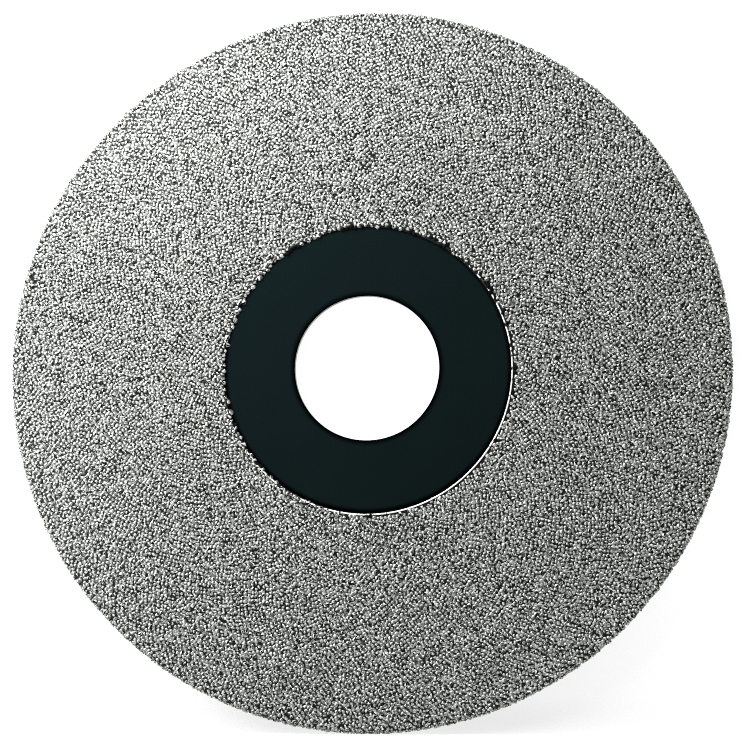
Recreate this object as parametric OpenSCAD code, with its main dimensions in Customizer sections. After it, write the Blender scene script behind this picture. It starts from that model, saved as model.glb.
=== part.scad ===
// Diamond flat-lap wheel: a stamped steel disc with a plated diamond coating on its front face and
// rim, and a black film label on the bare hub around the arbor bore.
// The wheel stands on edge. Its axis lies along Y and its coated face looks towards -Y.
// The origin is on the bore's axis, half-way through the steel.

/* [Wheel] */
// Diameter over the grit on the rim
wheel_d = 100; // [75:1:150]
// Diameter of the arbor bore
bore_d = 20; // [12:0.5:25]
// Diameter of the uncoated hub, inside which no grit is plated
hub_d = 40.4; // [34:0.2:60]

/* [Steel core] */
// Thickness of the stamped steel disc
core_t = 1; // [0.8:0.1:2]
// Chamfer on the back edge of the bore
bore_chamfer = 0.15; // [0.05:0.05:0.3]
// Bevel on both outer edges of the steel
rim_bevel = 0.15; // [0.05:0.05:0.3]

/* [Coating] */
// Thickness of the nickel that holds the grit
bond_t = 0.25; // [0.1:0.01:0.4]
// Height that the grit stands out of the nickel
grit_t = 0.27; // [0.1:0.01:0.4]
// Width of the smooth bead where the nickel ends at the hub
bead_w = 0.28; // [0.16:0.02:0.6]

/* [Hub label] */
// Thickness of the black film
film_t = 0.1; // [0.05:0.01:0.2]
// Thickness of the adhesive under the film
adhesive_t = 0.05; // [0.03:0.01:0.1]
// Bare ring between the label and the nickel bead
label_gap = 0.08; // [0.02:0.02:0.4]

/* [Hidden] */
$fn = 180;

half_core = core_t / 2;
bore_r = bore_d / 2;
hub_r = hub_d / 2;
rim_r = wheel_d / 2;

// The coating wraps the rim, so the steel is smaller than the wheel by one coating all round.
core_r = rim_r - grit_t - bond_t;
bond_rim_r = core_r + bond_t;
bond_top = half_core + bond_t;
grit_top = bond_top + grit_t;
bead_inner_r = hub_r - bead_w;

// A layer laid over a 45 degree bevel moves each of the bevel's corners along by this share of
// its thickness, so that the layer is equally thick on the face, the bevel and the rim.
bevel_shift = tan(22.5);
bevel_face_r = core_r - rim_bevel;
bevel_rim_z = half_core - rim_bevel;
// The coating stops where the steel's back bevel starts.
coating_end_z = -half_core + rim_bevel;

// The label is punched out together with the bore, so its hole is flush with the steel's.
label_outer_r = bead_inner_r - label_gap;

// Turns a half section, drawn as [radius, height towards the coated face], about the wheel's axis.
module turned() {
    rotate([90, 0, 0])
        rotate_extrude()
            children();
}

module flat_ring(inner_r, outer_r, low_z, thickness) {
    turned()
        translate([inner_r, low_z])
            square([outer_r - inner_r, thickness]);
}

// The blank: sharp-edged at the front of the bore, chamfered at the back where the arbor enters.
module steel_core() {
    color([0.74, 0.75, 0.76])
        turned()
            polygon([
                [bore_r, -half_core + bore_chamfer],
                [bore_r + bore_chamfer, -half_core],
                [core_r - rim_bevel, -half_core],
                [core_r, -half_core + rim_bevel],
                [core_r, bevel_rim_z],
                [bevel_face_r, half_core],
                [bore_r, half_core],
            ]);
}

// Nickel over the face, the bevel and the rim, with a round-topped bead at its inner edge.
module nickel_bond() {
    color([0.52, 0.52, 0.49])
        turned()
            union() {
                polygon([
                    [bead_inner_r, half_core],
                    [bevel_face_r, half_core],
                    [core_r, bevel_rim_z],
                    [core_r, coating_end_z],
                    [bond_rim_r, coating_end_z + bond_t],
                    [bond_rim_r, bevel_rim_z + bond_t * bevel_shift],
                    [bevel_face_r + bond_t * bevel_shift, bond_top],
                    [bead_inner_r, bond_top],
                ]);
                translate([bead_inner_r + bead_w / 2, bond_top])
                    circle(d = bead_w);
            }
}

// The crystals on the face, as one ring that reaches up to their tips.
module face_grit() {
    color([0.56, 0.57, 0.54])
        turned()
            polygon([
                [hub_r, bond_top],
                [bevel_face_r + bond_t * bevel_shift, bond_top],
                [bevel_face_r + (bond_t + grit_t) * bevel_shift, grit_top],
                [hub_r, grit_top],
            ]);
}

// The crystals on the bevel and the rim, as one ring that reaches out to their tips.
module rim_grit() {
    color([0.48, 0.49, 0.47])
        turned()
            polygon([
                [bevel_face_r + bond_t * bevel_shift, bond_top],
                [bond_rim_r, bevel_rim_z + bond_t * bevel_shift],
                [bond_rim_r, coating_end_z + bond_t],
                [rim_r, coating_end_z + bond_t + grit_t],
                [rim_r, bevel_rim_z + (bond_t + grit_t) * bevel_shift],
                [bevel_face_r + (bond_t + grit_t) * bevel_shift, grit_top],
            ]);
}

module hub_label() {
    color([0.07, 0.11, 0.12])
        flat_ring(bore_r, label_outer_r, half_core + adhesive_t, film_t);
}

module label_adhesive() {
    color([0.85, 0.84, 0.76])
        flat_ring(bore_r, label_outer_r, half_core, adhesive_t);
}

steel_core();
nickel_bond();
face_grit();
rim_grit();
hub_label();
label_adhesive();
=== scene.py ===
"""Looks of a plated diamond lap wheel: grains in nickel, a turned steel core and a black hub label.

The wheel stands on edge. Its axis is Y and its coated face looks towards -Y. Lengths are in metres.
"""
import math
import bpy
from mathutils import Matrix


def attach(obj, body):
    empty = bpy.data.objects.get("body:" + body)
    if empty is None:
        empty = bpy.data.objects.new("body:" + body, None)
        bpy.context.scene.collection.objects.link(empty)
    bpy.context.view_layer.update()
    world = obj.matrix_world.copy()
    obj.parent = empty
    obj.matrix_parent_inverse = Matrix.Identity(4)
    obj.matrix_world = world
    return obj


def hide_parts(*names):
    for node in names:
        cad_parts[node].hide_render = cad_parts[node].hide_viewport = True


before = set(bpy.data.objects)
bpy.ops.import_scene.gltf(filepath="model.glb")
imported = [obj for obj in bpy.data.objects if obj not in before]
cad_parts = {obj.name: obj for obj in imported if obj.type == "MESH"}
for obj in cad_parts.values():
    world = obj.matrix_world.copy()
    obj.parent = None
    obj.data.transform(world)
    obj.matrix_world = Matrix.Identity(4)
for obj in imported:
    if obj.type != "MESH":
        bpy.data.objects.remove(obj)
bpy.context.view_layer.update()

from types import SimpleNamespace

import bmesh
import bpy
import numpy as np
from mathutils import Matrix, Vector
from mathutils.kdtree import KDTree

MM = 0.001
TURN = 2 * math.pi
TINY = 0.001 * MM
SEED = 20
TEXTURE_SEED = 7

# Turned pieces: steps round the wheel, and the nickel's steps over its bead and across its face.
SEGMENTS = 360
BOND_SEGMENTS = 720
BEAD_STEPS = 13
FACE_STEPS = 110
BEAD_INNER_FACES = slice(1, 9)  # the inner two thirds of the bead's round top
NICKEL_UNEVEN = 0.012 * MM

# Grains on the face.
GOLDEN_ANGLE = math.pi * (3 - math.sqrt(5))
FACE_PITCH = 0.52 * MM
FACE_SIZE = 0.355 * MM  # mean radius of a grain
SIZE_SPREAD = 0.12
DEPTH_SPREAD = 0.02 * MM
TIP_REACH = 0.92  # how far a grain's tip stands past its centre, as a share of its size
SHAKE = 0.42  # how far at most a grain is moved off its even place, as a share of the pitch
RELAX = 9  # how often grains that crowd each other are pushed apart
CROWDED = 1.05  # below this share of the pitch, two grains crowd each other
FACE_MARGIN = 0.88 * MM  # how far inside the CAD's edge at the hub places are tried
RAGGED = (-0.32, -0.14)  # grains start between these, in mm outwards from the uncoated circle

# Grains on the bevel and the rim.
RIM_SPACING = 0.37 * MM
RIM_TRIES = 20000
RIM_LIFT = 0.06 * MM  # how far the grains' centres stand out of the nickel
RIM_SIZE, RIM_SIZE_SPREAD = 0.95, 0.08  # as shares of the height that the CAD gives them
RIM_TONE = 0.8

# Tones of facets: 0 is black and 1 is the lightest; lower than 0 is also black.
TONE_LOW = -0.12
SHARING = 2  # this many facets share the range of tones out among them
FLAT_SHARE = 0.4  # share of the grains whose largest facet looks outwards
LEAN = 0.10  # how far such a facet leans
TEXTURE_MARGIN = 0.02
TEXTURE_TILE = np.array(((-0.004, -0.004), (0.004, -0.004), (0, 0.006)))  # one facet's corners

# The hub isn't quite concentric: how low the label sits, and where the uncoated circle's centre is.
HUB_DROP = -0.18 * MM
MASK_SHIFT = (0.36 * MM, -0.40 * MM)
HIGHLIGHT_X, HIGHLIGHT_Z = 0.64, -0.77  # where the bead is painted bright as a highlight on its lit side, as a direction from the axis
PAINTED_SHADE_X, PAINTED_SHADE_Z = 0.50, 0.87  # where grains are painted black as the shade at the hub's edge, as a direction from the axis
PAINTED_SHADE_START, PAINTED_SHADE_WIDTH, PAINTED_SHADE_WAVE, PAINTED_SHADE_SHAKE = -0.25, 0.24, 0.45, 0.12  # in mm outwards
PAINTED_SHADE_WAVES = (11, 17, 29, 43)  # waves round the hub
# Painted shade: black for the gap ring by the label and for the bore's wall.
PAINTED_SHADE = (0.006, 0.006, 0.006)
EDGE_DARK = (0.0003, 0.0004, 0.0004)
FILM_ROUNDING = 0.03 * MM

# Camera.
LENS = 113
CAMERA_PLACE = Vector((33.5, -321.7, -32.8)) * MM
CAMERA_TARGET = Vector((1.07, 0, -0.93)) * MM

# Light: a wide key light, the sky, and three softboxes at one place turned about the wheel's axis.
KEY_POWER, KEY_ANGLE = 1.08, 30
KEY_PLACE = Vector((-0.456, -0.684, 0.57))
SOFTBOX_POWER, SOFTBOX_SIZE = 0.065, 0.04
SOFTBOX_PLACE = Vector((-0.0455, -0.028, 0.0503))
SOFTBOX_AIM = 0.6  # a softbox aims at this share of its own distance from the axis
SOFTBOX_TURNS = ((-60, 0.4), (0, 1.0), (45, 0.4))  # degrees and share of the power
SKY_SIDES, SKY_FRONT, SKY_OVERHEAD = 0.36, 0.09, 1.1
SKY_SEEN = 1.05  # what the camera sees of it

# Stage: two sheets of glowing paper.
BACKDROP_GAP = 0.006
SWEEP_R = 0.005
SHEET_T = 0.2 * MM
SHEET_REACH, SWEEP_WIDTH, SWEEP_HEIGHT, SWEEP_STEPS = 6.0, 0.5, 0.6, 13
GLOW_LOW, GLOW_HIGH, GLOW_BORE = 0.71, 0.85, 0.98
GLOW_RADII = (0.006, 0.024)  # it falls from the bore's glow to the low one between these
GLOW_HEIGHTS = (-0.048, -0.028)  # and rises to the high one between these

PIXEL_FILTER = 1.0


# ---------------------------------------------------------------- what the CAD frame says

def section_points(node):
    """Radius and height along the axis of each vertex of a CAD node."""
    co = np.array([v.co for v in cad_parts[node].data.vertices])
    return np.hypot(co[:, 0], co[:, 2]), co[:, 1]


def ring(node):
    """Inner and outer radius of a turned CAD node, and the planes of its front and back."""
    radius, y = section_points(node)
    return SimpleNamespace(inner=radius.min(), outer=radius.max(), front=y.min(), back=y.max())


def reach(node, plane):
    """How far out a turned CAD node reaches in one plane across the axis."""
    radius, y = section_points(node)
    return radius[np.abs(y - plane) < TINY].max()


def span(node, at):
    """The first and the last plane in which a turned CAD node has a corner at one radius."""
    radius, y = section_points(node)
    there = y[np.abs(radius - at) < TINY]
    return there.min(), there.max()


core = ring("steel_core")
bond = ring("nickel_bond")
face = ring("face_grit")
rim = ring("rim_grit")
label = ring("hub_label")
adhesive = ring("label_adhesive")
bond_face_outer = reach("nickel_bond", face.back)
core_face_outer = reach("steel_core", core.front)
bond_rim_front, bond_rim_back = span("nickel_bond", bond.outer)
bore_wall_back = span("steel_core", core.inner)[1]


# ---------------------------------------------------------------- mesh helpers

def add_piece(name, mesh, material, slot, *nodes):
    """Links a new piece to the wheel's body with its finish, and hides the CAD nodes that it stands for."""
    piece = bpy.data.objects.new(name, mesh)
    bpy.context.scene.collection.objects.link(piece)
    mesh.materials.append(material)
    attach(piece, "root")
    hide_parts(*nodes)


def triangle_mesh(name, co, triangles):
    mesh = bpy.data.meshes.new(name)
    mesh.vertices.add(len(co))
    mesh.vertices.foreach_set("co", co.astype(np.float32).ravel())
    mesh.loops.add(3 * len(triangles))
    mesh.loops.foreach_set("vertex_index", triangles.astype(np.int32).ravel())
    mesh.polygons.add(len(triangles))
    mesh.polygons.foreach_set("loop_start", np.arange(0, 3 * len(triangles), 3, dtype=np.int32))
    mesh.update(calc_edges=True)
    mesh.validate()
    return mesh


def lathe(name, outline, segments=SEGMENTS):
    """Turns a closed outline of (radius, y) points about the Y axis."""
    count = len(outline)
    angles = np.linspace(0, TURN, segments, endpoint=False)
    radius, y = np.array(outline).T
    co = np.empty((segments, count, 3))
    co[..., 0] = radius * np.cos(angles)[:, None]
    co[..., 1] = y
    co[..., 2] = radius * np.sin(angles)[:, None]
    faces = []
    for i in range(segments):
        here, there = i * count, (i + 1) % segments * count
        for j in range(count):
            k = (j + 1) % count
            faces.append((here + j, here + k, there + k, there + j))
    mesh = bpy.data.meshes.new(name)
    mesh.from_pydata(co.reshape(-1, 3).tolist(), [], faces)
    outward(mesh)
    mesh.shade_smooth()
    mesh.set_sharp_from_angle(angle=math.radians(25))
    return mesh


def outward(mesh):
    """Turns the faces' normals outwards."""
    bm = bmesh.new()
    bm.from_mesh(mesh)
    bmesh.ops.recalc_face_normals(bm, faces=bm.faces)
    bm.to_mesh(mesh)
    bm.free()


def arc(centre_r, centre_y, radius, start, end, steps):
    """Points of an arc in the section plane; angles in degrees from +radius towards -y."""
    return [
        (centre_r + radius * math.cos(math.radians(a)), centre_y - radius * math.sin(math.radians(a)))
        for a in np.linspace(start, end, steps)
    ]


def vertex_places(mesh):
    co = np.empty(len(mesh.vertices) * 3)
    mesh.vertices.foreach_get("co", co)
    return co.reshape(-1, 3)


def place_vertices(mesh, co):
    mesh.vertices.foreach_set("co", co.ravel())
    mesh.update()


def lower_hub(mesh):
    """Lets the circle where the coating and the label end sit a little below the bore's axis. The shift
    starts from nothing at the bore and fades out between 1 and 4 mm into the face."""
    co = vertex_places(mesh)
    radius = np.hypot(co[:, 0], co[:, 2])
    stops = (label.inner, label.outer, face.inner + 1 * MM, face.inner + 4 * MM)
    co[:, 2] += HUB_DROP * np.interp(radius, stops, (0, 1, 1, 0))
    place_vertices(mesh, co)


# ---------------------------------------------------------------- material helpers

def new_material(name):
    """A new material, its node tree, its shader and the object's own coordinates."""
    material = bpy.data.materials.new(name)
    material.use_nodes = True
    tree = material.node_tree
    shader = next(n for n in tree.nodes if n.type == "BSDF_PRINCIPLED")
    where = add_node(tree, "ShaderNodeTexCoord").outputs["Object"]
    return material, tree, shader, where


def add_node(tree, kind, **values):
    node = tree.nodes.new(kind)
    for name, value in values.items():
        setattr(node, name, value)
    return node


def noise(tree, vector, scale, detail):
    node = add_node(tree, "ShaderNodeTexNoise")
    node.inputs["Scale"].default_value = scale
    node.inputs["Detail"].default_value = detail
    node.inputs["Roughness"].default_value = 0.55
    tree.links.new(vector, node.inputs["Vector"])
    return node.outputs["Fac"]


def spread(tree, value, low, high, from_low=0.0, from_high=1.0):
    """Maps a value onto the range from low to high."""
    node = add_node(tree, "ShaderNodeMapRange")
    node.inputs["From Min"].default_value = from_low
    node.inputs["From Max"].default_value = from_high
    node.inputs["To Min"].default_value = low
    node.inputs["To Max"].default_value = high
    tree.links.new(value, node.inputs["Value"])
    return node.outputs["Result"]


def combine(tree, operation, first, second):
    node = add_node(tree, "ShaderNodeMath", operation=operation)
    tree.links.new(first, node.inputs[0])
    tree.links.new(second, node.inputs[1])
    return node.outputs["Value"]


def mix_colours(tree, factor, first, second):
    node = add_node(tree, "ShaderNodeMix", data_type="RGBA")
    tree.links.new(factor, node.inputs["Factor"])
    for socket, colour in ((node.inputs[6], first), (node.inputs[7], second)):
        if isinstance(colour, tuple):
            socket.default_value = (*colour, 1)
        else:
            tree.links.new(colour, socket)
    return node.outputs[2]


def bump(tree, height, strength, distance):
    node = add_node(tree, "ShaderNodeBump")
    node.inputs["Strength"].default_value = strength
    node.inputs["Distance"].default_value = distance
    tree.links.new(height, node.inputs["Height"])
    return node.outputs["Normal"]


def along(tree, vector, direction):
    """How far a vector reaches in a direction."""
    node = add_node(tree, "ShaderNodeVectorMath", operation="DOT_PRODUCT")
    node.inputs[1].default_value = direction
    tree.links.new(vector, node.inputs[0])
    return node.outputs["Value"]


def radius_of(tree, vector):
    """Distance from the wheel's axis."""
    flat = add_node(tree, "ShaderNodeVectorMath", operation="MULTIPLY")
    flat.inputs[1].default_value = (1, 0, 1)
    tree.links.new(vector, flat.inputs[0])
    length = add_node(tree, "ShaderNodeVectorMath", operation="LENGTH")
    tree.links.new(flat.outputs[0], length.inputs[0])
    return length.outputs["Value"]


# ---------------------------------------------------------------- materials

def turned_steel():
    """Nickel-flashed steel with fine concentric turning lines. The bore's wall is painted black as shade."""
    material, tree, shader, where = new_material("turned_steel")
    radius = radius_of(tree, where)
    lines = add_node(tree, "ShaderNodeTexNoise", noise_dimensions="1D")
    lines.inputs["Scale"].default_value = 2500
    lines.inputs["Detail"].default_value = 4
    tree.links.new(radius, lines.inputs["W"])
    cloud = noise(tree, where, 60, 4)
    colour = mix_colours(tree, cloud, (0.50, 0.50, 0.485), (0.62, 0.62, 0.61))
    # On the front only the narrow ring between the label and the nickel is seen; it is painted black too, as
    # the shade in that gap.
    front = spread(tree, along(tree, where, (0, 1, 0)), 1.0, 0.0, core.front, core.front + 0.1 * MM)
    outside_bore = spread(tree, radius, 0.0, 1.0, core.inner + 1 * MM, core.inner + 2 * MM)
    colour = mix_colours(tree, combine(tree, "MULTIPLY", front, outside_bore), colour, PAINTED_SHADE)
    # Painted shade on the bore's wall.
    wall = spread(tree, radius, 0.95, 0.0, core.inner + 0.01 * MM, core.inner + 0.05 * MM)
    colour = mix_colours(tree, wall, colour, PAINTED_SHADE)
    grooves = spread(tree, lines.outputs["Fac"], 0.0, 0.45, 0.35, 0.65)
    colour = mix_colours(tree, grooves, colour, (0.30, 0.30, 0.29))
    tree.links.new(colour, shader.inputs["Base Color"])
    shader.inputs["Metallic"].default_value = 1.0
    tree.links.new(spread(tree, cloud, 0.24, 0.42, 0.3, 0.7), shader.inputs["Roughness"])
    tree.links.new(bump(tree, lines.outputs["Fac"], 0.6, 0.02 * MM), shader.inputs["Normal"])
    return material


def plated_nickel():
    """Dull nodular nickel between the grains, painted near-black as the shade that falls between the grains.
    """
    material, tree, shader, where = new_material("plated_nickel")
    nodules = noise(tree, where, 12000, 3)
    patches = noise(tree, where, 900, 3)
    # Painted shade: near-black in place of the nickel's own grey.
    colour = mix_colours(tree, patches, (0.004, 0.004, 0.0037), (0.014, 0.014, 0.013))
    tree.links.new(colour, shader.inputs["Base Color"])
    shader.inputs["Metallic"].default_value = 0.8
    tree.links.new(spread(tree, nodules, 0.35, 0.6), shader.inputs["Roughness"])
    tree.links.new(bump(tree, nodules, 0.6, 0.03 * MM), shader.inputs["Normal"])
    return material


def bead_nickel():
    """The nickel's edge at the hub: painted bright as a highlight on the side that faces the light, and
    painted black as shade elsewhere.
    """
    material, tree, shader, where = new_material("bead_nickel")
    nodules = noise(tree, where, 9000, 3)
    across = along(tree, where, (HIGHLIGHT_X / face.inner, 0, HIGHLIGHT_Z / face.inner))
    patches = spread(tree, noise(tree, where, 1400, 2), -0.7, 0.7, 0.3, 0.7)
    # Painted highlight and painted shade: white towards the lit side, black on the rest.
    painted_highlight = spread(tree, combine(tree, "ADD", across, patches), 0.0, 1.0, 0.2, 0.4)
    colour = mix_colours(tree, painted_highlight, (0.003, 0.003, 0.003), (0.95, 0.95, 0.93))
    tree.links.new(colour, shader.inputs["Base Color"])
    shader.inputs["Metallic"].default_value = 0.6
    tree.links.new(spread(tree, nodules, 0.25, 0.45), shader.inputs["Roughness"])
    tree.links.new(bump(tree, nodules, 0.3, 0.01 * MM), shader.inputs["Normal"])
    return material


def diamond_grit():
    """Crystals whose facets differ in tone: the lighter, the glassier and the more metallic."""
    material, tree, shader, where = new_material("diamond_grit")
    tone = add_node(tree, "ShaderNodeAttribute", attribute_name="tone").outputs["Fac"]
    cloud = noise(tree, where, 4000, 2)
    ramp = add_node(tree, "ShaderNodeValToRGB")
    ramp.color_ramp.elements[0].color = (0.003, 0.003, 0.003, 1)
    ramp.color_ramp.elements[1].color = (0.70, 0.725, 0.68, 1)
    tree.links.new(tone, ramp.inputs["Fac"])
    tint = spread(tree, cloud, 0, 0.04)
    colour = mix_colours(tree, tint, ramp.outputs["Color"], (0.05, 0.055, 0.045))
    tree.links.new(colour, shader.inputs["Base Color"])
    tree.links.new(spread(tree, tone, 0.0, 0.5, 0.0, 0.25), shader.inputs["Metallic"])
    tree.links.new(spread(tree, tone, 0.34, 0.16), shader.inputs["Roughness"])
    tree.links.new(spread(tree, tone, 0.02, 0.5, 0.05, 0.3), shader.inputs["Specular IOR Level"])
    return material


def black_film():
    """Matt blue-black film, darker still towards its inner and outer edges."""
    material, tree, shader, where = new_material("black_film")
    peel = noise(tree, where, 5000, 2)
    cloud = noise(tree, where, 90, 3)
    radius = radius_of(tree, where)
    inner_edge = spread(tree, radius, 1.0, 0.0, label.inner + 0.15 * MM, label.inner + 0.8 * MM)
    outer_edge = spread(tree, radius, 0.0, 1.0, label.outer - 0.6 * MM, label.outer - 0.1 * MM)
    colour = mix_colours(tree, cloud, (0.0032, 0.0066, 0.0071), (0.0042, 0.0084, 0.0090))
    colour = mix_colours(tree, inner_edge, colour, EDGE_DARK)
    colour = mix_colours(tree, outer_edge, colour, EDGE_DARK)
    tree.links.new(colour, shader.inputs["Base Color"])
    shader.inputs["Specular IOR Level"].default_value = 0.0
    tree.links.new(spread(tree, cloud, 0.5, 0.62), shader.inputs["Roughness"])
    tree.links.new(bump(tree, peel, 0.15, 0.01 * MM), shader.inputs["Normal"])
    return material


def clear_adhesive():
    """Pale, slightly cloudy glue."""
    material, tree, shader, where = new_material("clear_adhesive")
    cloud = noise(tree, where, 2500, 3)
    colour = mix_colours(tree, cloud, (0.42, 0.41, 0.36), (0.62, 0.61, 0.55))
    tree.links.new(colour, shader.inputs["Base Color"])
    tree.links.new(spread(tree, cloud, 0.3, 0.5), shader.inputs["Roughness"])
    return material


def lit_paper():
    """White paper on a light box. It glows most behind the bore, and more higher up than on the floor."""
    material, tree, shader, where = new_material("lit_paper")
    cloud = noise(tree, where, 40, 3)
    colour = mix_colours(tree, cloud, (0.29, 0.29, 0.29), (0.31, 0.31, 0.31))
    tree.links.new(colour, shader.inputs["Base Color"])
    shader.inputs["Roughness"].default_value = 0.9
    shader.inputs["Specular IOR Level"].default_value = 0.1
    shader.inputs["Emission Color"].default_value = (1, 1, 1, 1)
    behind_bore = spread(tree, radius_of(tree, where), GLOW_BORE, GLOW_LOW, *GLOW_RADII)
    higher_up = spread(tree, along(tree, where, (0, 0, 1)), GLOW_LOW, GLOW_HIGH, *GLOW_HEIGHTS)
    glow = combine(tree, "MAXIMUM", behind_bore, higher_up)
    tree.links.new(glow, shader.inputs["Emission Strength"])
    # It is seen from its front only, so that the wheel's back can be looked at.
    side = add_node(tree, "ShaderNodeNewGeometry").outputs["Backfacing"]
    clear = add_node(tree, "ShaderNodeBsdfTransparent")
    both = add_node(tree, "ShaderNodeMixShader")
    tree.links.new(side, both.inputs[0])
    tree.links.new(shader.outputs["BSDF"], both.inputs[1])
    tree.links.new(clear.outputs["BSDF"], both.inputs[2])
    output = next(n for n in tree.nodes if n.type == "OUTPUT_MATERIAL")
    tree.links.new(both.outputs["Shader"], output.inputs["Surface"])
    return material


# ---------------------------------------------------------------- crystals

CUBOCTAHEDRON = np.array([(x, y, 0) for x in (-1, 1) for y in (-1, 1)]
                         + [(x, 0, z) for x in (-1, 1) for z in (-1, 1)]
                         + [(0, y, z) for y in (-1, 1) for z in (-1, 1)]) / math.sqrt(2)


def crystal(rng, roughened, dropped):
    """One blocky crystal of radius about 1: the hull of a cuboctahedron whose corners are moved or lost.
    Returns its vertices, its triangles and the direction that its largest facet looks in."""
    corners = CUBOCTAHEDRON[rng.permutation(12)[dropped:]]
    corners = corners * rng.uniform(0.82, 1.18, 3) + rng.normal(0, roughened, corners.shape)
    bm = bmesh.new()
    for corner in corners:
        bm.verts.new(corner)
    bmesh.ops.convex_hull(bm, input=bm.verts)
    inside = [v for v in bm.verts if not v.link_faces]
    bmesh.ops.delete(bm, geom=inside, context="VERTS")
    bmesh.ops.recalc_face_normals(bm, faces=bm.faces)
    bmesh.ops.triangulate(bm, faces=bm.faces)
    bm.verts.index_update()
    co = np.array([v.co for v in bm.verts])
    triangles = np.array([[v.index for v in f.verts] for f in bm.faces])
    largest = np.array(max(bm.faces, key=lambda f: f.calc_area()).normal)
    bm.free()
    return co, triangles, largest


def rotations(rng, count):
    """Random rotation matrices, evenly spread."""
    q = rng.normal(size=(count, 4))
    w, x, y, z = (q / np.linalg.norm(q, axis=1, keepdims=True)).T
    return np.array([
        [1 - 2 * (y * y + z * z), 2 * (x * y - z * w), 2 * (x * z + y * w)],
        [2 * (x * y + z * w), 1 - 2 * (x * x + z * z), 2 * (y * z - x * w)],
        [2 * (x * z - y * w), 2 * (y * z + x * w), 1 - 2 * (x * x + y * y)],
    ]).transpose(2, 0, 1)


def turn_onto(start, ends):
    """Rotation matrices that turn one unit vector onto each of many."""
    cross = np.cross(start, ends)
    dot = ends @ start
    k = np.zeros((len(ends), 3, 3))
    k[:, 0, 1], k[:, 0, 2], k[:, 1, 2] = -cross[:, 2], cross[:, 1], -cross[:, 0]
    k -= k.transpose(0, 2, 1)
    return np.eye(3) + k + k @ k / (1 + dot)[:, None, None].clip(1e-3)


def scatter(rng, width, height, spacing, tries):
    """Random points in a strip of the given size, no two nearer than spacing. The strip wraps round in x."""
    cell = spacing / math.sqrt(2)
    columns = int(width / cell)
    cell_x = width / columns
    grid, points = {}, []
    near = [(i, j) for i in range(-2, 3) for j in range(-2, 3)]
    for x, y in rng.random((tries, 2)) * (width, height):
        column, row = int(x / cell_x), int(y / cell)
        clear = True
        for i, j in near:
            other = grid.get(((column + i) % columns, row + j))
            if other is not None:
                dx = abs(x - other[0])
                dx = min(dx, width - dx)
                if dx * dx + (y - other[1]) ** 2 < spacing * spacing:
                    clear = False
                    break
        if clear:
            grid[column, row] = (x, y)
            points.append((x, y))
    return np.array(points)


def scatter_face(rng, inner, outer, pitch):
    """Points over the ring between two radii: as even as a sunflower's seeds, then shaken and relaxed."""
    seeds = np.arange(int(math.pi * inner**2 / pitch**2) + 1, int(math.pi * outer**2 / pitch**2))
    radius = pitch * np.sqrt(seeds / math.pi)
    angle = seeds * GOLDEN_ANGLE
    points = np.column_stack((radius * np.cos(angle), radius * np.sin(angle)))
    points += rng.uniform(-SHAKE, SHAKE, points.shape) * pitch
    for _ in range(RELAX):
        push_apart(points, CROWDED * pitch)
    radius = np.hypot(*points.T)
    return points * (radius.clip(inner, outer) / radius)[:, None]


def push_apart(points, nearest):
    """Moves points that are closer together than the nearest that they should be away from each other."""
    tree = KDTree(len(points))
    for i, (x, z) in enumerate(points.tolist()):
        tree.insert((x, z, 0), i)
    tree.balance()
    for i, (x, z) in enumerate(points.tolist()):
        for place, j, distance in tree.find_range((x, z, 0), nearest):
            if i != j:
                share = 0.25 * (nearest / max(distance, 0.1 * nearest) - 1)
                points[i] += share * (x - place[0]), share * (z - place[1])


def in_painted_shade(rng, points, edge):
    """Which face grains are painted black as the shade along the hub's edge: those nearer to the coating's
    edge than a width that wavers round the hub, and that is widest on the shaded side."""
    radius = np.hypot(*points.T)
    angle = np.arctan2(points[:, 1], points[:, 0])
    side = (0.1 + 0.9 * (points[:, 0] * PAINTED_SHADE_X + points[:, 1] * PAINTED_SHADE_Z) / radius).clip(0, 1)
    phases = rng.uniform(0, TURN, len(PAINTED_SHADE_WAVES))
    wave = sum(np.sin(k * angle + phase) for k, phase in zip(PAINTED_SHADE_WAVES, phases)) / len(PAINTED_SHADE_WAVES)
    width = PAINTED_SHADE_WIDTH + PAINTED_SHADE_WAVE * wave + rng.uniform(-PAINTED_SHADE_SHAKE, PAINTED_SHADE_SHAKE, len(points))
    return edge < (side * width + PAINTED_SHADE_START) * MM


def facet_tones(rng, co, faces, turn, outwards):
    """A tone for each facet of many turned copies of a crystal. The facets that look outwards most share the
    tones out among them. The mean over what is seen is then set to the middle of the range, so that every
    grain is as light as the next."""
    corners = co[faces]
    areas = np.cross(corners[:, 1] - corners[:, 0], corners[:, 2] - corners[:, 0])
    shown = np.einsum("nij,fj,ni->nf", turn, areas, outwards)
    order = np.argsort(-shown, axis=1)
    count = -(-len(faces) // SHARING)
    ranks = rng.permuted(np.tile(np.arange(SHARING), (len(turn), count, 1)), axis=2)
    ranks = ((ranks + rng.random(ranks.shape)) / SHARING).reshape(len(turn), -1)[:, :len(faces)]
    facet = np.empty(shown.shape)
    np.put_along_axis(facet, order, TONE_LOW + (1 - TONE_LOW) * ranks, axis=1)
    weights = shown.clip(0, None)
    mean = (facet * weights).sum(1, keepdims=True) / weights.sum(1, keepdims=True)
    return facet + (1 + TONE_LOW) / 2 - mean


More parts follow.
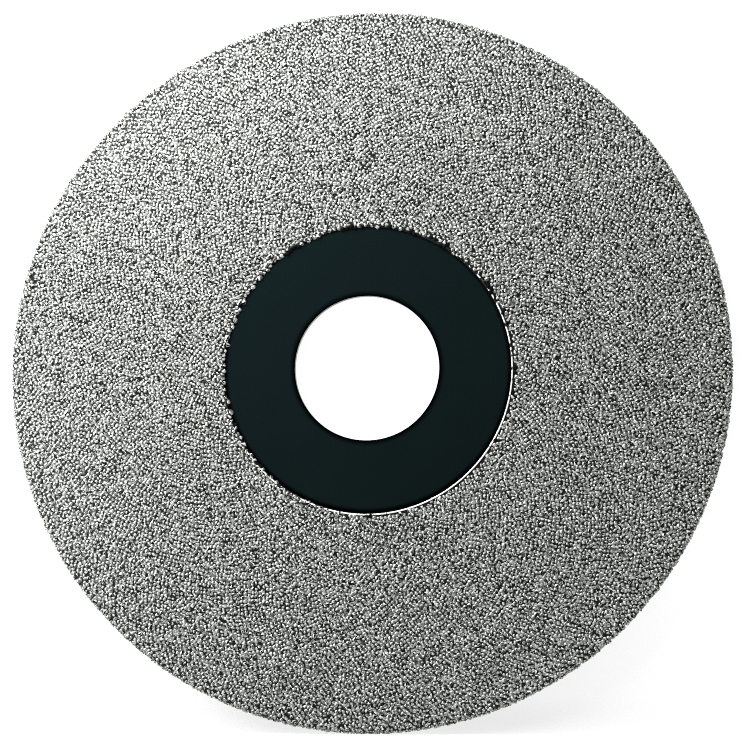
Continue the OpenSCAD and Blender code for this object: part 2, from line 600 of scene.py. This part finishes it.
def grain_mesh(name, rng, shapes, centres, outwards, sizes, tones):
    """One mesh of many separate closed crystals. Some lie with their largest facet outwards."""
    kinds = rng.integers(0, len(shapes), len(centres))
    flat = rng.random(len(centres)) < FLAT_SHARE
    parts, triangles, values, first = [], [], [], 0
    for kind, (co, faces, largest) in enumerate(shapes):
        chosen = np.flatnonzero(kinds == kind)
        spin = rotations(rng, len(chosen))
        lying = outwards[chosen] + rng.normal(0, LEAN, (len(chosen), 3))
        lying /= np.linalg.norm(lying, axis=1, keepdims=True)
        looking = spin @ largest
        level = np.array([turn_onto(a, b[None])[0] for a, b in zip(looking, lying)])
        turn = np.where(flat[chosen, None, None], level @ spin, spin)
        placed = np.einsum("nij,vj->nvi", turn, co) * sizes[chosen, None, None] + centres[chosen, None]
        offsets = first + np.arange(len(chosen)) * len(co)
        parts.append(placed.reshape(-1, 3))
        triangles.append((faces[None] + offsets[:, None, None]).reshape(-1, 3))
        values.append((tones[chosen, None] * facet_tones(rng, co, faces, turn, outwards[chosen])).ravel())
        first += len(chosen) * len(co)
    mesh = triangle_mesh(name, np.concatenate(parts), np.concatenate(triangles))
    values = np.concatenate(values).clip(0, 1)
    tone = mesh.attributes.new("tone", "FLOAT", "FACE")
    tone.data.foreach_set("value", values.astype(np.float32))
    # Texture places: facets of like tone lie together, so that they can share a texture.
    places = np.column_stack((values, np.random.default_rng(TEXTURE_SEED).random(len(values))))
    places = TEXTURE_MARGIN + (1 - 2 * TEXTURE_MARGIN) * places
    corners = places[:, None] + TEXTURE_TILE
    mesh.uv_layers.new(name="OFBake").data.foreach_set("uv", corners.astype(np.float32).ravel())
    return mesh


# ---------------------------------------------------------------- pieces

def make_core(material):
    bevel = core.outer - core_face_outer
    outline = [
        (core.inner, core.front),
        (core_face_outer, core.front),
        (core.outer, core.front + bevel),
        (core.outer, core.back - bevel),
        (core.outer - bevel, core.back),
        (core.inner + core.back - bore_wall_back, core.back),
        (core.inner, bore_wall_back),
    ]
    add_piece("core_disc", lathe("core_disc", outline), material, "core_steel", "steel_core")


def make_bond(material, bead_material, rng):
    """The nickel: a closed skin over the face, the bevel and the rim, with a round bead at the hub."""
    bead_r = (face.inner - bond.inner) / 2
    top = face.back
    bead = arc(bond.inner + bead_r, top, bead_r, 180, 0, BEAD_STEPS)
    face_steps = np.linspace(face.inner + 0.2 * MM, bond_face_outer, FACE_STEPS)
    outline = (
        [(bond.inner, core.front)]
        + bead
        + [(r, top) for r in face_steps]
        + [(bond.outer, bond_rim_front), (bond.outer, bond_rim_back), (core.outer, bond.back)]
        + [(core.outer, core.front + core.outer - core_face_outer), (core_face_outer, core.front)]
    )
    mesh = lathe("bond_skin", outline, BOND_SEGMENTS)
    add_piece("bond_skin", mesh, material, "bond_nickel", "nickel_bond")
    count = len(outline)
    co = vertex_places(mesh).reshape(-1, count, 3)
    first = 1 + len(bead)
    last = first + len(face_steps)
    co[:, first:last, 1] += rng.normal(0, NICKEL_UNEVEN, co[:, first:last, 1].shape)
    place_vertices(mesh, co)
    lower_hub(mesh)
    mesh.materials.append(bead_material)
    slots = np.zeros((len(mesh.polygons) // count, count), np.int32)
    slots[:, BEAD_INNER_FACES] = 1
    mesh.polygons.foreach_set("material_index", slots.ravel())


def make_face_grains(material, shapes, rng):
    """Grains over the nickel's face, in four sectors. They are set round a circle that is off centre."""
    points = scatter_face(rng, face.inner - FACE_MARGIN, bond_face_outer, FACE_PITCH)
    edge = np.hypot(points[:, 0] - MASK_SHIFT[0], points[:, 1] - MASK_SHIFT[1]) - face.inner
    kept = edge > rng.uniform(*RAGGED, len(edge)) * MM
    points, edge = points[kept], edge[kept]
    depths = face.front + rng.normal(0.0, DEPTH_SPREAD, len(points))
    sizes = FACE_SIZE * rng.normal(1, SIZE_SPREAD, len(points)).clip(0.7, 1.3)
    centres = np.column_stack((points[:, 0], depths + TIP_REACH * sizes, points[:, 1]))
    # Painted shade: grains near the hub's edge on one side are black all over.
    tones = np.where(in_painted_shade(rng, points, edge), 0.0, 1.0)
    outwards = np.tile((0.0, -1.0, 0.0), (len(points), 1))
    sector = (np.arctan2(points[:, 1], points[:, 0]) // (TURN / 4)).astype(int) % 4
    for i in range(4):
        chosen = sector == i
        name = f"face_grains_{i + 1}"
        mesh = grain_mesh(name, rng, shapes, centres[chosen], outwards[chosen], sizes[chosen], tones[chosen])
        add_piece(name, mesh, material, "diamond_grit", "face_grit")


def make_rim_grains(material, shapes, rng):
    """Grains scattered over the bevel and the rim, as over a strip that is then rolled up."""
    corner = Vector((bond.outer, bond_rim_front))
    bevel_start = Vector((bond_face_outer, face.back))
    bevel_length = (corner - bevel_start).length
    length = bevel_length + bond_rim_back - bond_rim_front
    points = scatter(rng, TURN * bond.outer, length, RIM_SPACING, RIM_TRIES)
    angle = points[:, 0] / bond.outer
    across = points[:, 1]
    on_bevel = across < bevel_length
    share = (across / bevel_length).clip(0, 1)
    radius = bevel_start.x + (corner.x - bevel_start.x) * share
    bevel_y = bevel_start.y + (corner.y - bevel_start.y) * share
    y = np.where(on_bevel, bevel_y, bond_rim_front + across - bevel_length)
    centres = np.column_stack((radius * np.cos(angle), y, radius * np.sin(angle)))
    forwards = np.where(on_bevel, math.sqrt(0.5), 0.0)
    sideways = np.sqrt(1 - forwards**2)
    outwards = np.column_stack((np.cos(angle) * sideways, -forwards, np.sin(angle) * sideways))
    sizes = (rim.outer - bond.outer) * rng.normal(RIM_SIZE, RIM_SIZE_SPREAD, len(points)).clip(0.75, 1.05)
    centres += RIM_LIFT * outwards
    tones = np.full(len(points), RIM_TONE)
    mesh = grain_mesh("rim_grains", rng, shapes, centres, outwards, sizes, tones)
    add_piece("rim_grains", mesh, material, "diamond_grit", "rim_grit")


def make_grit(material, rng):
    """The grains. They share sixteen shapes: four neat crystals and twelve rougher, broken ones."""
    shapes = [crystal(rng, 0.02, 0) for _ in range(4)]
    shapes += [crystal(rng, 0.10, dropped) for dropped in (0, 1, 2, 3) for _ in range(3)]
    make_face_grains(material, shapes, rng)
    make_rim_grains(material, shapes, rng)


def make_label(film_material, adhesive_material):
    """The film, with slightly rounded front edges, and the glue under it."""
    outline = [
        (label.inner, label.back),
        (label.inner, label.front + FILM_ROUNDING),
        (label.inner + FILM_ROUNDING, label.front),
        (label.outer - FILM_ROUNDING, label.front),
        (label.outer, label.front + FILM_ROUNDING),
        (label.outer, label.back),
    ]
    film = lathe("hub_film", outline)
    lower_hub(film)
    add_piece("hub_film", film, film_material, "label_film", "hub_label")
    outline = [
        (adhesive.inner, adhesive.back),
        (adhesive.inner, adhesive.front),
        (adhesive.outer, adhesive.front),
        (adhesive.outer, adhesive.back),
    ]
    layer = lathe("adhesive_layer", outline)
    lower_hub(layer)
    add_piece("adhesive_layer", layer, adhesive_material, "label_adhesive", "label_adhesive")


# ---------------------------------------------------------------- camera, light and floor

def look_at(thing, target):
    thing.rotation_mode = "QUATERNION"
    thing.rotation_quaternion = (target - thing.location).to_track_quat("-Z", "Y")


def make_camera():
    data = bpy.data.cameras.new("camera")
    data.lens = LENS
    data.sensor_width = 36
    data.clip_start, data.clip_end = 0.01, 20
    camera = bpy.data.objects.new("camera", data)
    bpy.context.scene.collection.objects.link(camera)
    camera.location = CAMERA_PLACE
    look_at(camera, CAMERA_TARGET)
    bpy.context.scene.camera = camera


def add_light(name, data, place, target):
    light = bpy.data.objects.new(name, data)
    bpy.context.scene.collection.objects.link(light)
    light.location = place
    look_at(light, target)
    return light


def make_key():
    data = bpy.data.lights.new("key", "SUN")
    data.energy = KEY_POWER
    data.angle = math.radians(KEY_ANGLE)
    add_light("key", data, KEY_PLACE, Vector((0, 0, 0)))


def make_softbox(turn, share):
    """A softbox that the camera doesn't see, turned about the wheel's axis by some degrees."""
    place = Matrix.Rotation(math.radians(turn), 3, "Y") @ SOFTBOX_PLACE
    data = bpy.data.lights.new("softbox", "AREA")
    data.shape = "RECTANGLE"
    data.size, data.size_y = SOFTBOX_SIZE, SOFTBOX_SIZE
    data.energy = SOFTBOX_POWER * share
    light = add_light("softbox", data, place, SOFTBOX_AIM * Vector((place.x, 0, place.z)))
    light.visible_camera = False


def make_sheet(name, material, profile, half_width):
    """A sheet drawn out along X from a profile of (y, z) points."""
    co = [(x, y, z) for y, z in profile for x in (-half_width, half_width)]
    faces = [(2 * i, 2 * i + 1, 2 * i + 3, 2 * i + 2) for i in range(len(profile) - 1)]
    mesh = bpy.data.meshes.new(name)
    mesh.from_pydata(co, [], faces)
    mesh.shade_smooth()
    sheet = bpy.data.objects.new(name, mesh)
    bpy.context.scene.collection.objects.link(sheet)
    mesh.materials.append(material)


def make_stage(material):
    """A floor, and on it a sheet of the same paper that curves up close behind the wheel."""
    low, far = -rim.outer, SHEET_REACH
    make_sheet("floor", material, [(-far, low - SHEET_T), (far, low - SHEET_T)], far)
    back = core.back + BACKDROP_GAP
    curve = [
        (back - SWEEP_R + SWEEP_R * math.sin(a), low + SWEEP_R - SWEEP_R * math.cos(a))
        for a in np.linspace(0, TURN / 4, SWEEP_STEPS)
    ]
    profile = [(-SWEEP_WIDTH, low)] + curve + [(back, SWEEP_HEIGHT)]
    make_sheet("backdrop", material, profile, SWEEP_WIDTH)


def make_world():
    """A studio that is bright overhead, dim at the sides and darkest in front of the wheel. The camera sees
    it as white."""
    world = bpy.data.worlds.new("studio")
    bpy.context.scene.world = world
    world.use_nodes = True
    tree = world.node_tree
    background = next(n for n in tree.nodes if n.type == "BACKGROUND")
    where = add_node(tree, "ShaderNodeTexCoord").outputs["Generated"]
    sides = spread(tree, along(tree, where, (0, -1, 0)), SKY_SIDES, SKY_FRONT, 0.1, 0.7)
    overhead = spread(tree, along(tree, where, (0, 0, 1)), 0.0, SKY_OVERHEAD, 0.2, 1.0)
    light = combine(tree, "ADD", sides, overhead)
    path = add_node(tree, "ShaderNodeLightPath").outputs["Is Camera Ray"]
    seen = add_node(tree, "ShaderNodeMix", data_type="FLOAT")
    seen.inputs[3].default_value = SKY_SEEN
    tree.links.new(path, seen.inputs[0])
    tree.links.new(light, seen.inputs[2])
    tree.links.new(seen.outputs[0], background.inputs["Strength"])
    background.inputs["Color"].default_value = (1, 1, 1, 1)


rng = np.random.default_rng(SEED)
make_camera()
make_core(turned_steel())
make_bond(plated_nickel(), bead_nickel(), rng)
make_grit(diamond_grit(), rng)
make_label(black_film(), clear_adhesive())

make_stage(lit_paper())
make_world()
make_key()
for turn, share in SOFTBOX_TURNS:
    make_softbox(turn, share)

bpy.context.scene.view_settings.view_transform = "Standard"
bpy.context.scene.cycles.use_denoising = False
bpy.context.scene.cycles.caustics_reflective = False
bpy.context.scene.cycles.filter_width = PIXEL_FILTER
